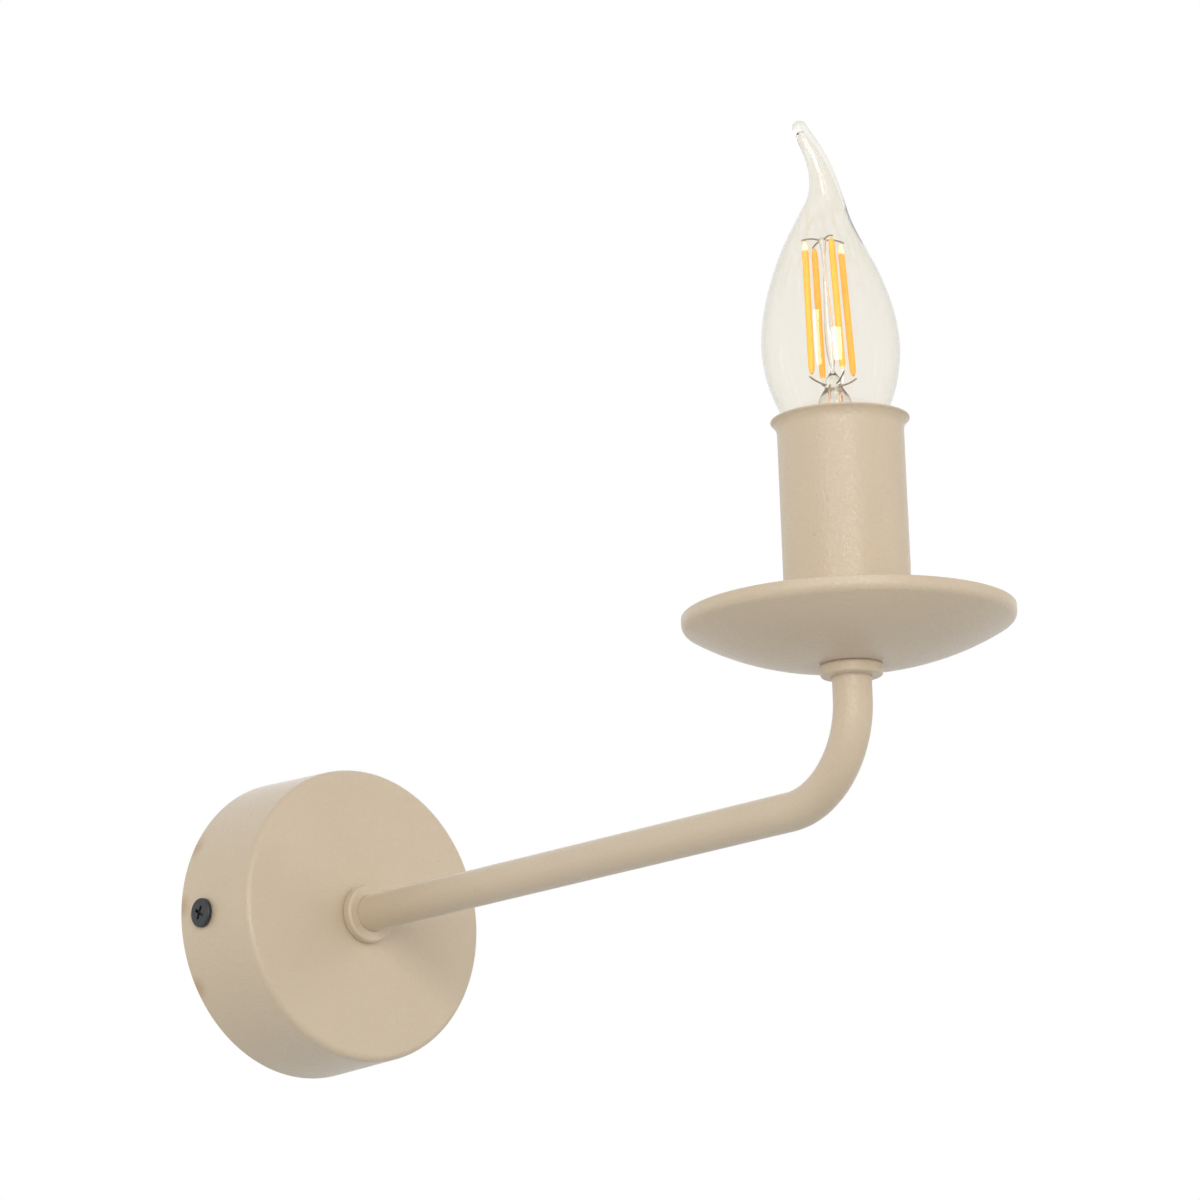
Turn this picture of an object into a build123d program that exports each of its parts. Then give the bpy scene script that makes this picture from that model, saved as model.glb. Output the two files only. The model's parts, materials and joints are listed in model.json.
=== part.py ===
from build123d import *
import os
from math import cos, radians, sin, sqrt

# Wall sconce: one candle lamp on a bent tube arm that stands out from a round wall cup.
# Millimetres. The origin is on the wall, at the centre of the cup. The wall is the plane Y = 0,
# the arm runs along -Y, +X is to the right of someone who faces the wall, and +Z is up.

# Wall cup, pressed from sheet steel with a little draft
cup_rear_diameter = 82.4
cup_draft = 1.0
cup_depth = 28.4
cup_wall = 1.0
cup_edge_radius = 2.0

# Arm, a bent steel tube with a thread at each end
tube_diameter = 10.0
tube_bore = 8.0
arm_reach = 225.5
bend_radius = 24.6
thread_spare = 0.9

# Turned collars, one in front of the cup and one under the pan
collar_diameter = 15.8
collar_thickness = 3.1
collar_edge_radius = 0.8
upper_collar_height = 30.2

# Toothed washers and nuts on the arm's threads
washer_diameter = 17.0
washer_thickness = 1.0
washer_teeth = 10
washer_notch = 1.6
nut_across_flats = 14.0
nut_thickness = 3.5

# Drip pan, spun from sheet steel
pan_diameter = 84.0
pan_height = 13.5
pan_sheet = 1.0
pan_flat_radius = 6.0
pan_rim_height = 3.1
pan_corner_radius = 2.4
pan_rim_radius = 0.4

# Candle sleeve, drawn with a floor and a flared lip
sleeve_diameter = 32.0
sleeve_wall = 1.0
sleeve_height = 61.3
lip_flare = 2.3
lip_height = 3.6
lip_edge_radius = 0.3

# Wall bracket, a cross-shaped steel strap with two ears
strap_thickness = 1.5
strap_width = 16.0
strap_bend_radius = 1.5
ear_height = 15.0
ear_corner_radius = 4.0
ear_gap = 0.3
tongue_width = 15.0
tongue_top = 28.5
tongue_bottom = 20.0
tongue_corner_radius = 3.0
wall_slot_spacing = 44.0
wall_slot_length = 12.0
wall_slot_width = 5.0
cable_hole_diameter = 10.0
drawn_collar_diameter = 6.4
drawn_collar_height = 1.5

# Side screws that hold the cup on the bracket's ears
screw_thread = 4.0
screw_wall_distance = 9.5
screw_head_diameter = 8.0
screw_head_height = 1.2
screw_head_radius = 0.5
screw_length = 7.0
screw_point = 0.5
recess_width = 0.9
recess_span = 3.8
recess_depth = 0.8
recess_turn = 62.0
screw_hole_gap = 0.3

# Slots of the small screws
slot_width = 0.6
slot_depth = 0.7

# Earth terminal
earth_screw_down = 13.0
earth_head_diameter = 7.0
earth_head_height = 2.2
tag_thickness = 0.8
tag_rim = 2.4
tag_tail_width = 3.6
tag_tail_length = 5.0
earth_wire_drop = 25.0
earth_wire_bend = 6.0

# Terminal block with two poles
block_low = 10.5
block_width = 17.0
block_depth = 16.5
block_height = 8.4
block_corner_radius = 1.0
tower_diameter = 6.2
tower_height = 3.0
pole_spacing = 8.0
clamp_spacing = 8.4
tunnel_height = 4.2
terminal_tube_diameter = 5.0
terminal_tube_bore = 3.2
terminal_tube_length = 14.0
clamp_thread = 2.5
clamp_head_diameter = 3.6
clamp_head_height = 1.6
block_screw_thread = 3.0
block_screw_head = 5.0
block_screw_head_height = 1.8

# Insulated wires
wire_diameter = 2.0
wire_spacing = 2.4
wire_entry_bend = 4.0
wire_spread_bend = 8.0
wire_exit_bend = 2.2
wire_stop = 2.1

# Lampholder: bush, dome, core with its contacts, skirt
holder_diameter = 26.0
holder_wall = 2.0
bush_diameter = 12.4
bush_flange_diameter = 13.8
bush_flange_height = 1.6
terminal_depth = 4.0
terminal_inner = 5.2
terminal_outer = 10.4
terminal_base = 1.5
terminal_top = 2.1
holder_screw_place = 8.8
holder_screw_head_diameter = 3.4
holder_screw_head_height = 1.4
core_diameter = 18.6
core_thickness = 4.3
spigot_height = 2.0
post_diameter = 2.0
post_place = 6.0
contact_sheet = 0.5
contact_width = 4.0
contact_arch = 1.7
leaf_flat = 1.0
leaf_tail = 2.0
side_contact_height = 11.5
side_contact_radius = 7.6
skirt_top_above_core = 26.4
socket_diameter = 14.8
mouth_diameter = 18.8
mouth_depth = 4.0

# Bulb: a 35 mm candle with a bent tip on an E14 screw cap, heights above the eyelet.
# Each rise is from the height before it in the chain
bulb_diameter = 35.0
bulb_lean = 1.75
bulb_lean_height = 11.0
bulb_turn = 139.5
glass_wall = 0.7
eyelet_diameter = 4.6
eyelet_height = 1.8
eyelet_edge_radius = 0.9
insulator_low = 1.0
insulator_high = 5.2
insulator_low_diameter = 6.4
insulator_high_diameter = 11.2
cap_diameter = 13.9
cap_wall = 0.5
cap_thread_low = 6.5
cap_thread_high = 20.0
cap_skirt_height = 23.0
cap_skirt_diameter = 16.8
cap_top = 26.0
neck_diameter = 15.4
neck_height = 23.2
shoulder_diameter = 29.4
shoulder_rise = 20.2
widest_rise = 14.0
cheek_diameter = 31.4
cheek_rise = 12.4
crown_diameter = 22.2
crown_rise = 12.4
throat_diameter = 14.0
throat_rise = 8.6
waist_diameter = 9.1
waist_rise = 6.4
tip_start_diameter = 6.5
tip_start_rise = 6.0
tip_middle_diameter = 4.8
tip_end_diameter = 3.8
tip_solid = 3.5
filament_diameter = 1.7
filament_lift = 1.0
filament_height = 34.6
filament_low_radius = 5.8
filament_high_radius = 5.0
filament_count = 4
filament_turn = 23.2
lead_diameter = 0.5
lead_foot_drop = 1.9
stem_flare_diameter = 13.6
stem_flare_rise = 1.2
stem_wall = 0.8
stem_waist_diameter = 6.4
stem_waist_rise = 13.6
stem_bulge_diameter = 8.4
stem_bulge_rise = 8.0
press_diameter = 3.8
press_foot_rise = 3.0
press_rise = 3.0
support_rod_diameter = 1.4
driver_thickness = 1.2
driver_low = 8.0
driver_high = 21.0

# The glass's centre line leaves the upright above the cheek, sways back, bends forwards and ends straight
sway_rise = 7.2
sway_radius = 112.0
sway_angle = 8.4
tip_bend_radius = 30.4
tip_bend_angle = 24.6
tip_straight = 5.7

# Clearances
slip_gap = 0.2
seat_gap = 0.05
fit_gap = 0.05
contact_gap = 0.2

# Longer than any hole that is drilled through
drill_length = 200.0

ON_BASE = (Align.CENTER, Align.CENTER, Align.MIN)
UNDER_TOP = (Align.CENTER, Align.CENTER, Align.MAX)

# Cup-side pieces are drawn with X to the right, Y up and Z out from the wall, then stood up
off_wall = Rot(90, 0, 0)
# Pieces of the lamp are drawn about Z at their real height, then carried out along the arm
on_riser = Pos(0, -arm_reach, 0)

# The pan's arc leaves its flat level and ends at the foot of the rim
pan_dish_depth = pan_height - pan_rim_height
pan_dish_span = pan_diameter / 2 - pan_flat_radius
pan_dish_radius = (pan_dish_span**2 + pan_dish_depth**2) / (2 * pan_dish_depth)


def cup_radius(distance):
    """Outer radius of the cup at a distance from the wall."""
    return cup_rear_diameter / 2 - cup_draft * distance / cup_depth


def dish_height(radius):
    """Height of the pan's inner surface at a radius, above the pan's underside."""
    inner = pan_dish_radius - pan_sheet
    return pan_dish_radius - sqrt(inner**2 - (radius - pan_flat_radius) ** 2)


# The stack of pieces on the arm's inner thread, as distances from the wall
cup_floor = cup_depth - cup_wall
arm_washer_low = cup_floor - washer_thickness
arm_tag_low = arm_washer_low - tag_thickness
arm_nut_low = arm_tag_low - nut_thickness
arm_end = arm_nut_low - thread_spare

# The stack of pieces on the riser, as heights above the arm's axis
pan_low = upper_collar_height + collar_thickness
sleeve_low = pan_low + dish_height(sleeve_diameter / 2) + seat_gap
sleeve_washer_low = sleeve_low + sleeve_wall
sleeve_nut_low = sleeve_washer_low + washer_thickness
holder_low = sleeve_nut_low + nut_thickness
bush_flange_low = holder_low + holder_wall
riser_end = bush_flange_low + bush_flange_height + thread_spare
wire_exit = riser_end + wire_diameter / 2 + fit_gap
core_low = wire_exit + terminal_top
core_high = core_low + core_thickness
skirt_high = core_high + skirt_top_above_core
eyelet_low = core_high + contact_arch + contact_sheet + contact_gap

# The bulb leans in the play of its thread, about a point on its axis, towards its bent tip
lean_centre = eyelet_low + bulb_lean_height
bulb_tilt = Rot(0, 0, bulb_turn) * Rot(0, bulb_lean, 0)
bulb_seat = on_riser * Pos(0, 0, lean_centre) * bulb_tilt * Pos(0, 0, -bulb_lean_height)

# The bulb's chain of heights above the eyelet, measured along the glass's centre line, then up its stem
shoulder_height = cap_top + shoulder_rise
widest_height = shoulder_height + widest_rise
cheek_height = widest_height + cheek_rise
crown_height = cheek_height + crown_rise
throat_height = crown_height + throat_rise
waist_height = throat_height + waist_rise
tip_start_height = waist_height + tip_start_rise
stem_flare_height = neck_height + stem_flare_rise
stem_waist_height = stem_flare_height + stem_waist_rise
stem_bulge_height = stem_waist_height + stem_bulge_rise
press_foot_height = stem_bulge_height + press_foot_rise
press_height = press_foot_height + press_rise
filament_low = press_height + filament_lift
filament_high = filament_low + filament_height

# Where the bracket's ears stand inside the cup
ear_corner = cup_radius(ear_height) - cup_wall - ear_gap
ear_face = sqrt(ear_corner**2 - (strap_width / 2) ** 2)
drawn_collar_top = strap_thickness + drawn_collar_height
earth_place = Pos(0, -earth_screw_down, 0)
nut_across_corners = nut_across_flats / cos(radians(30))
block_base = strap_thickness
block_middle = block_low + block_depth / 2
tunnel_axis = block_base + tunnel_height


def from_wall(distance):
    """Place on the cup's axis at a distance from the wall."""
    return off_wall * Pos(0, 0, distance)


def up_riser(height):
    """Place on the riser's axis at a height above the arm's axis."""
    return on_riser * Pos(0, 0, height)


def disc(diameter, low, high):
    """Round bar about Z between two heights."""
    return Pos(0, 0, low) * Cylinder(diameter / 2, high - low, align=ON_BASE)


def ring(outer_diameter, bore, low, high):
    """Flat ring about Z between two heights."""
    return disc(outer_diameter, low, high) - disc(bore, low, high)


def drill(diameter):
    """Round cutter about Z that passes through any piece."""
    return Cylinder(diameter / 2, drill_length)


def turned(outline):
    """Solid turned about Z from corners of radius and height."""
    return revolve(Plane.XZ * make_face(Polyline(*outline, close=True)), Axis.Z)


def rod(start, end, diameter):
    """Round bar between two points."""
    along = Vector(*end) - Vector(*start)
    return Plane(origin=start, z_dir=along) * Cylinder(diameter / 2, along.length, align=ON_BASE)


def wire(points, radii):
    """Wire of round section along straight runs with a rounded turn at each inner point."""
    path = FilletPolyline(*points, radius=radii)
    start = Plane(origin=points[0], z_dir=Vector(*points[1]) - Vector(*points[0]))
    return sweep(start * Circle(wire_diameter / 2), path=path)


def slotted_screw(thread, length, head_diameter, head_height):
    """Small slotted screw about Z, with the seat of its head at Z = 0 and its thread below."""
    head = Cylinder(head_diameter / 2, head_height, align=ON_BASE)
    head -= Pos(0, 0, head_height - slot_depth) * Box(head_diameter, slot_width, head_height, align=ON_BASE)
    return head + Cylinder(thread / 2 - fit_gap, length, align=UNDER_TOP)


# Cup side

def wall_cup():
    """Shell of a shallow cone, open to the wall, with holes for the arm and the side screws."""
    cup = Cone(cup_radius(0), cup_radius(cup_depth), cup_depth, align=ON_BASE)
    cup = fillet(cup.edges().sort_by(Axis.Z)[-1], cup_edge_radius)
    cup = offset(cup, -cup_wall, openings=cup.faces().sort_by(Axis.Z)[0])
    cup -= drill(tube_diameter + slip_gap)
    side_holes = Rot(0, 90, 0) * drill(screw_thread + 2 * screw_hole_gap)
    return off_wall * (cup - Pos(0, 0, screw_wall_distance) * side_holes)


def wall_bracket():
    """Strap bent into a shallow channel, crossed by two tongues, with drawn and tapped holes."""
    channel = Pos(0, ear_height / 2) * Rectangle(2 * ear_face, ear_height)
    channel = fillet(channel.vertices().group_by(Axis.Y)[0], strap_bend_radius + strap_thickness)
    inside_width = 2 * (ear_face - strap_thickness)
    inside = Pos(0, strap_thickness + ear_height / 2) * Rectangle(inside_width, ear_height)
    inside = fillet(inside.vertices().group_by(Axis.Y)[0], strap_bend_radius)
    strap = extrude(Plane.XZ * (channel - inside), strap_width / 2, both=True)
    strap = fillet(strap.edges().filter_by(Axis.X).group_by(Axis.Z)[-1], ear_corner_radius)
    tongue_length = tongue_top + tongue_bottom
    tongue_middle = (tongue_top - tongue_bottom) / 2
    tongue = Pos(0, tongue_middle, 0) * Box(tongue_width, tongue_length, strap_thickness, align=ON_BASE)
    strap += fillet(tongue.edges().filter_by(Axis.Z), tongue_corner_radius)

    drawn_collar = disc(drawn_collar_diameter, 0, drawn_collar_top)
    strap += earth_place * drawn_collar
    for side in (-1, 1):
        strap += Pos(side * ear_face, 0, screw_wall_distance) * Rot(0, -90 * side, 0) * drawn_collar

    strap -= Pos(0, 0, screw_wall_distance) * Rot(0, 90, 0) * drill(screw_thread)
    strap -= earth_place * drill(screw_thread)
    strap -= Pos(0, block_middle, 0) * drill(block_screw_thread)
    strap -= drill(cable_hole_diameter)
    slot = extrude(SlotOverall(wall_slot_length, wall_slot_width), 2 * strap_thickness, both=True)
    for side in (-1, 1):
        strap -= Pos(side * wall_slot_spacing / 2, 0, 0) * slot
    return off_wall * strap


def cup_screw(side):
    """Cross-recessed side screw, its head on the cup's wall and its thread in the bracket's ear."""
    head = Cylinder(screw_head_diameter / 2, screw_head_height, align=ON_BASE)
    head = fillet(head.edges().sort_by(Axis.Z)[-1], screw_head_radius)
    recess_floor = Pos(0, 0, screw_head_height - recess_depth)
    for turn in (recess_turn, recess_turn + 90):
        arm = Box(recess_span, recess_width, screw_head_height, align=ON_BASE)
        head -= recess_floor * Rot(0, 0, turn) * arm
    shank = Cylinder(screw_thread / 2 - fit_gap, screw_length, align=UNDER_TOP)
    screw = head + chamfer(shank.edges().sort_by(Axis.Z)[0], screw_point)
    seat = cup_radius(screw_wall_distance - screw_head_diameter / 2) + seat_gap
    return off_wall * Pos(side * seat, 0, screw_wall_distance) * Rot(0, 90 * side, 0) * screw


def toothed_washer():
    """Locking washer about Z on Z = 0, with notches to half its width between its inner teeth."""
    washer = ring(washer_diameter, tube_diameter + slip_gap, 0, washer_thickness)
    ring_width = (washer_diameter - tube_diameter) / 2
    notch = Pos(tube_diameter / 2, 0, 0) * Box(ring_width, washer_notch, washer_thickness, align=ON_BASE)
    for step in range(washer_teeth):
        washer -= Rot(0, 0, 360 * step / washer_teeth) * notch
    return washer


def thread_nut():
    """Thin hexagon nut about Z on Z = 0, with its corners turned off twice as wide as they are high."""
    hexagon = RegularPolygon(nut_across_flats / 2, 6, major_radius=False)
    corner = (nut_across_corners - nut_across_flats) / 2
    blank = Cylinder(nut_across_corners / 2, nut_thickness, align=ON_BASE)
    blank = chamfer(blank.edges(), corner, corner / 2)
    nut = extrude(hexagon, nut_thickness) & blank
    return nut - drill(tube_diameter + 2 * fit_gap)


def collar():
    """Turned ring about Z on Z = 0, with rounded outer edges."""
    blank = Cylinder(collar_diameter / 2, collar_thickness, align=ON_BASE)
    blank = fillet(blank.edges(), collar_edge_radius)
    return blank - drill(tube_diameter + 2 * fit_gap)


def arm_tube():
    """Bent tube from inside the cup, out along -Y and up through the pan into the lampholder."""
    start = (0, -arm_end, 0)
    path = FilletPolyline(start, (0, -arm_reach, 0), (0, -arm_reach, riser_end), radius=bend_radius)
    section = Circle(tube_diameter / 2) - Circle(tube_bore / 2)
    return sweep(Plane(origin=start, z_dir=(0, -1, 0)) * section, path=path)


def earth_screw():
    """Slotted screw in the bracket's lower tongue, its head on the small earth tag."""
    seat = drawn_collar_top + tag_thickness
    screw = slotted_screw(screw_thread, seat - seat_gap, earth_head_diameter, earth_head_height)
    return from_wall(seat) * earth_place * screw


def earth_tag(hole):
    """Flat ring terminal about Z on Z = 0, with a tail that points down."""
    rim = hole + 2 * tag_rim
    tail_length = rim / 2 + tag_tail_length
    tail = Box(tag_tail_width, tail_length, tag_thickness, align=(Align.CENTER, Align.MAX, Align.MIN))
    return disc(rim, 0, tag_thickness) + tail - disc(hole, 0, tag_thickness)


def earth_wire():
    """Short wire in a U between the tails of the two earth tags."""
    near_arm = arm_tag_low - wire_diameter / 2 - seat_gap
    near_wall = drawn_collar_top + tag_thickness + wire_diameter / 2 + seat_gap
    first = nut_across_corners / 2 + slip_gap
    last = earth_screw_down + earth_head_diameter / 2 + slip_gap
    route = [
        (0, -first, near_arm),
        (0, -earth_wire_drop, near_arm),
        (0, -earth_wire_drop, near_wall),
        (0, -last, near_wall),
    ]
    return off_wall * wire(route, [earth_wire_bend, earth_wire_bend])


# Terminal block

def pole_places():
    """Places of the two poles across the block."""
    return [Pos(side * pole_spacing / 2, block_middle, 0) for side in (-1, 1)]


def clamp_places():
    """Places of the four clamping screws."""
    return [pole * Pos(0, end * clamp_spacing / 2, 0) for pole in pole_places() for end in (-1, 1)]


def tunnel(diameter, length):
    """Round bar along a pole's wire tunnel."""
    return Pos(0, 0, tunnel_axis) * Rot(90, 0, 0) * Cylinder(diameter / 2, length)


def terminal_block():
    """Moulded housing with a tower over each clamping screw and a tunnel for each pole."""
    body = Box(block_width, block_depth, block_height, align=ON_BASE)
    block = Pos(0, block_middle, block_base) * fillet(body.edges().filter_by(Axis.Z), block_corner_radius)
    top = block_base + block_height + tower_height
    for place in clamp_places():
        block += place * disc(tower_diameter, block_base, top)
    for place in clamp_places():
        block -= place * disc(clamp_head_diameter + slip_gap, tunnel_axis, top)
    for place in pole_places():
        block -= place * tunnel(terminal_tube_diameter + 2 * fit_gap, drill_length)
    return off_wall * (block - Pos(0, block_middle, 0) * drill(block_screw_thread + slip_gap))


def terminal_tubes():
    """Two brass tubes, one for each pole, tapped for their clamping screws."""
    tubes = []
    for pole in pole_places():
        outside = tunnel(terminal_tube_diameter, terminal_tube_length)
        tube = pole * (outside - tunnel(terminal_tube_bore, drill_length))
        for place in clamp_places():
            tube -= place * disc(clamp_thread, tunnel_axis, tunnel_axis + terminal_tube_diameter)
        tubes.append(tube)
    return off_wall * Compound(children=tubes)


def terminal_screws():
    """Four clamping screws in the towers, backed out of the wire tunnels."""
    seat = tunnel_axis + terminal_tube_diameter / 2 + clamp_head_height / 2
    length = seat - tunnel_axis - terminal_tube_bore / 2
    screw = slotted_screw(clamp_thread, length, clamp_head_diameter, clamp_head_height)
    return off_wall * Compound(children=[place * Pos(0, 0, seat) * screw for place in clamp_places()])


def block_screw():
    """Screw through the middle of the block into the bracket's upper tongue."""
    seat = block_base + block_height
    screw = slotted_screw(block_screw_thread, seat - seat_gap, block_screw_head, block_screw_head_height)
    return off_wall * Pos(0, block_middle, seat) * screw


def lamp_wire(side):
    """Wire from the terminal block, through the arm, to the lampholder's terminal on the same side."""
    pole = side * pole_spacing / 2
    lane = side * wire_spacing / 2
    route = [
        (pole, -tunnel_axis, block_middle - wire_stop),
        (pole, -tunnel_axis, block_low - wire_diameter),
        (lane, -tunnel_axis, 0),
        (lane, -arm_reach, 0),
        (lane, -arm_reach, wire_exit),
        (side * (terminal_inner + terminal_outer) / 2, -arm_reach, wire_exit),
    ]
    return wire(route, [wire_spread_bend, wire_entry_bend, bend_radius, wire_exit_bend])


# Pan, sleeve and lampholder

def drip_pan():
    """Spun dish: a flat, a shallow arc and an upright rim, shelled to the sheet's thickness."""
    rim = pan_diameter / 2
    outline = [
        Line((0, 0), (pan_flat_radius, 0)),
        TangentArc((pan_flat_radius, 0), (rim, pan_dish_depth), tangent=(1, 0)),
        Line((rim, pan_dish_depth), (rim, pan_height)),
        Line((rim, pan_height), (0, pan_height)),
        Line((0, pan_height), (0, 0)),
    ]
    half_section = make_face(outline)
    corner = half_section.vertices().group_by(Axis.X)[-1].sort_by(Axis.Y)[0]
    pan = revolve(Plane.XZ * fillet(corner, pan_corner_radius), Axis.Z)
    pan = offset(pan, -pan_sheet, openings=pan.faces().sort_by(Axis.Z)[-1])
    pan = fillet(pan.edges().group_by(Axis.Z)[-1], pan_rim_radius)
    return up_riser(pan_low) * (pan - drill(tube_diameter + slip_gap))


def candle_sleeve():
    """Drawn tube with a floor that the nut holds down and a lip that flares out at the top."""
    radius = sleeve_diameter / 2
    lip = radius + lip_flare
    flare_start = sleeve_height - lip_height
    outline = [
        Line((0, 0), (radius, 0)),
        Line((radius, 0), (radius, flare_start)),
        TangentArc((radius, flare_start), (lip, sleeve_height), tangent=(0, 1)),
        Line((lip, sleeve_height), (0, sleeve_height)),
        Line((0, sleeve_height), (0, 0)),
    ]
    sleeve = revolve(Plane.XZ * make_face(outline), Axis.Z)
    sleeve = offset(sleeve, -sleeve_wall, openings=sleeve.faces().sort_by(Axis.Z)[-1])
    sleeve = fillet(sleeve.edges().group_by(Axis.Z)[-1], lip_edge_radius)
    return up_riser(sleeve_low) * (sleeve - drill(tube_diameter + slip_gap))


def holder_bush():
    """Threaded bush that screws on the riser and holds the dome down with its flange."""
    body = disc(bush_diameter, holder_low, bush_flange_low)
    body += disc(bush_flange_diameter, bush_flange_low, bush_flange_low + bush_flange_height)
    return on_riser * (body - drill(tube_diameter + 2 * fit_gap))


def holder_dome():
    """Moulded cup that closes the lampholder below its terminals."""
    high = core_low + spigot_height
    cup = disc(holder_diameter, holder_low, high)
    cup -= disc(holder_diameter - 2 * holder_wall, bush_flange_low, high)
    return on_riser * (cup - drill(bush_diameter + 2 * fit_gap))


def holder_core():
    """Moulded disc that carries the two contacts, with a hole for each contact's post."""
    core = disc(core_diameter, core_low, core_high)
    for side in (-1, 1):
        core -= Pos(side * post_place, 0, 0) * drill(post_diameter + 2 * fit_gap)
    return on_riser * core


def holder_skirt():
    """Moulded tube with the socket's bore, a wider mouth and a spigot that plugs into the dome."""
    joint = core_low + spigot_height
    skirt = disc(holder_diameter, joint, skirt_high)
    skirt += disc(holder_diameter - 2 * (holder_wall + fit_gap), core_low, joint)
    skirt -= disc(core_diameter + 2 * fit_gap, core_low, core_high)
    skirt -= disc(socket_diameter, core_high, skirt_high)
    skirt -= disc(mouth_diameter, skirt_high - mouth_depth, skirt_high)
    groove_depth = side_contact_radius + contact_sheet + slip_gap
    groove = Box(groove_depth, contact_width + 2 * slip_gap, side_contact_height + slip_gap,
                 align=(Align.MAX, Align.CENTER, Align.MIN))
    return on_riser * (skirt - Pos(0, 0, core_high) * groove)


def holder_terminal(side):
    """Brass block under the core with a hole for the wire, a tapped hole and a post through the core."""
    low = wire_exit - terminal_base
    span = terminal_outer - terminal_inner
    place = side * (terminal_inner + span / 2)
    block = Pos(place, 0, low) * Box(span, terminal_depth, core_low - low, align=ON_BASE)
    wire_hole = disc(wire_diameter + slip_gap, 0, abs(place) + slip_gap)
    block -= Pos(0, 0, wire_exit) * Rot(0, 90 * side, 0) * wire_hole
    block -= Pos(side * holder_screw_place, 0, 0) * disc(clamp_thread, low, wire_exit)
    return block + Pos(side * post_place, 0, 0) * disc(post_diameter, core_low, core_high)


def centre_contact():
    """Live terminal whose arched leaf spring lies under the bulb's eyelet."""
    foot = post_place + post_diameter / 2
    rise_start = post_place - post_diameter / 2
    arch = core_high + contact_arch
    outline = Polyline(
        (foot, core_high), (rise_start, core_high), (leaf_flat, arch), (-leaf_tail, arch),
        (-leaf_tail, arch + contact_sheet), (leaf_flat, arch + contact_sheet),
        (rise_start, core_high + contact_sheet), (foot, core_high + contact_sheet), close=True)
    leaf = extrude(Plane.XZ * make_face(outline), contact_width / 2, both=True)
    return on_riser * (holder_terminal(1) + leaf)


def side_contact():
    """Neutral terminal whose strip stands in the skirt's groove beside the bulb's cap."""
    outer = side_contact_radius + contact_sheet
    foot_length = outer - post_place + post_diameter / 2
    at_strip = Pos(-outer, 0, core_high)
    along = (Align.MIN, Align.CENTER, Align.MIN)
    strip = at_strip * Box(foot_length, contact_width, contact_sheet, align=along)
    strip += at_strip * Box(contact_sheet, contact_width, side_contact_height, align=along)
    return on_riser * (holder_terminal(-1) + strip)


def holder_screws():
    """Two clamping screws that come up into the lampholder's terminals from below."""
    seat = wire_exit - terminal_base
    length = terminal_base - wire_diameter / 2 - fit_gap
    screw = slotted_screw(clamp_thread, length, holder_screw_head_diameter, holder_screw_head_height)
    places = [Pos(side * holder_screw_place, 0, seat) * Rot(180, 0, 0) for side in (-1, 1)]
    return on_riser * Compound(children=[place * screw for place in places])


# Bulb, drawn about Z with its eyelet at Z = 0 and its tip bent towards +X

def bulb_eyelet():
    """Contact button at the foot of the cap."""
    button = disc(eyelet_diameter, 0, eyelet_height)
    return bulb_seat * fillet(button.edges().sort_by(Axis.Z)[0], eyelet_edge_radius)


def bulb_insulator():
    """Moulded cone between the eyelet and the cap."""
    hole = eyelet_diameter / 2 + fit_gap
    cone = turned([
        (hole, insulator_low), (insulator_low_diameter / 2, insulator_low),
        (insulator_high_diameter / 2, insulator_high), (hole, insulator_high)])
    return bulb_seat * cone


def bulb_cap():
    """Thin screw cap: a shoulder, the thread's cylinder and a wider skirt that holds the glass."""
    shoulder = insulator_high_diameter / 2
    thread = cap_diameter / 2
    skirt = cap_skirt_diameter / 2
    outer = [
        (shoulder, insulator_high), (thread, cap_thread_low), (thread, cap_thread_high),
        (skirt, cap_skirt_height), (skirt, cap_top)]
    inner = [(radius - cap_wall, height) for radius, height in reversed(outer)]
    return bulb_seat * turned(outer + inner)


def bulb_driver():
    """Small circuit board that stands across the inside of the cap."""
    half_width = sqrt((cap_diameter / 2 - cap_wall - slip_gap) ** 2 - (driver_thickness / 2) ** 2)
    board = Box(2 * half_width, driver_thickness, driver_high - driver_low, align=ON_BASE)
    return bulb_seat * Pos(0, 0, driver_low) * board


def glass_centre_line():
    """Centre line of the glass: upright, swayed back a little, bent forwards and straight to the bead."""
    upright = Line((0, neck_height), (0, cheek_height + sway_rise))
    back = JernArc(upright @ 1, upright % 1, sway_radius, sway_angle)
    forward = JernArc(back @ 1, back % 1, tip_bend_radius, -sway_angle - tip_bend_angle)
    tip = Line(forward @ 1, forward @ 1 + tip_straight * (forward % 1))
    return Plane.XZ * Wire([upright, back, forward, tip])


def across_line(line, height):
    """Plane across the glass's centre line at a height that is measured along the line."""
    length = height - neck_height
    along = line.tangent_at(length, PositionMode.LENGTH)
    return Plane(line.position_at(length, PositionMode.LENGTH), x_dir=(along.Z, 0, -along.X), z_dir=along)


def envelope(line, inset, end_inset):
    """Candle shape through circles across the centre line, drawn in from the glass's outside by insets."""
    tip_end_height = neck_height + line.length
    stations = [
        (neck_height, neck_diameter),
        (cap_top, neck_diameter),
        (shoulder_height, shoulder_diameter),
        (widest_height, bulb_diameter),
        (cheek_height, cheek_diameter),
        (crown_height, crown_diameter),
        (throat_height, throat_diameter),
        (waist_height, waist_diameter),
        (tip_start_height, tip_start_diameter),
        (tip_end_height - tip_straight, tip_middle_diameter),
        (tip_end_height - end_inset, tip_end_diameter),
    ]
    return loft([across_line(line, height) * Circle(diameter / 2 - inset) for height, diameter in stations])


def bulb_glass():
    """Blown envelope with a bead at the end of its drawn and bent tip."""
    line = glass_centre_line()
    bead = Pos(line @ 1) * Sphere(tip_end_diameter / 2)
    return bulb_seat * (envelope(line, 0, 0) + bead - envelope(line, glass_wall, tip_solid))


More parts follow.
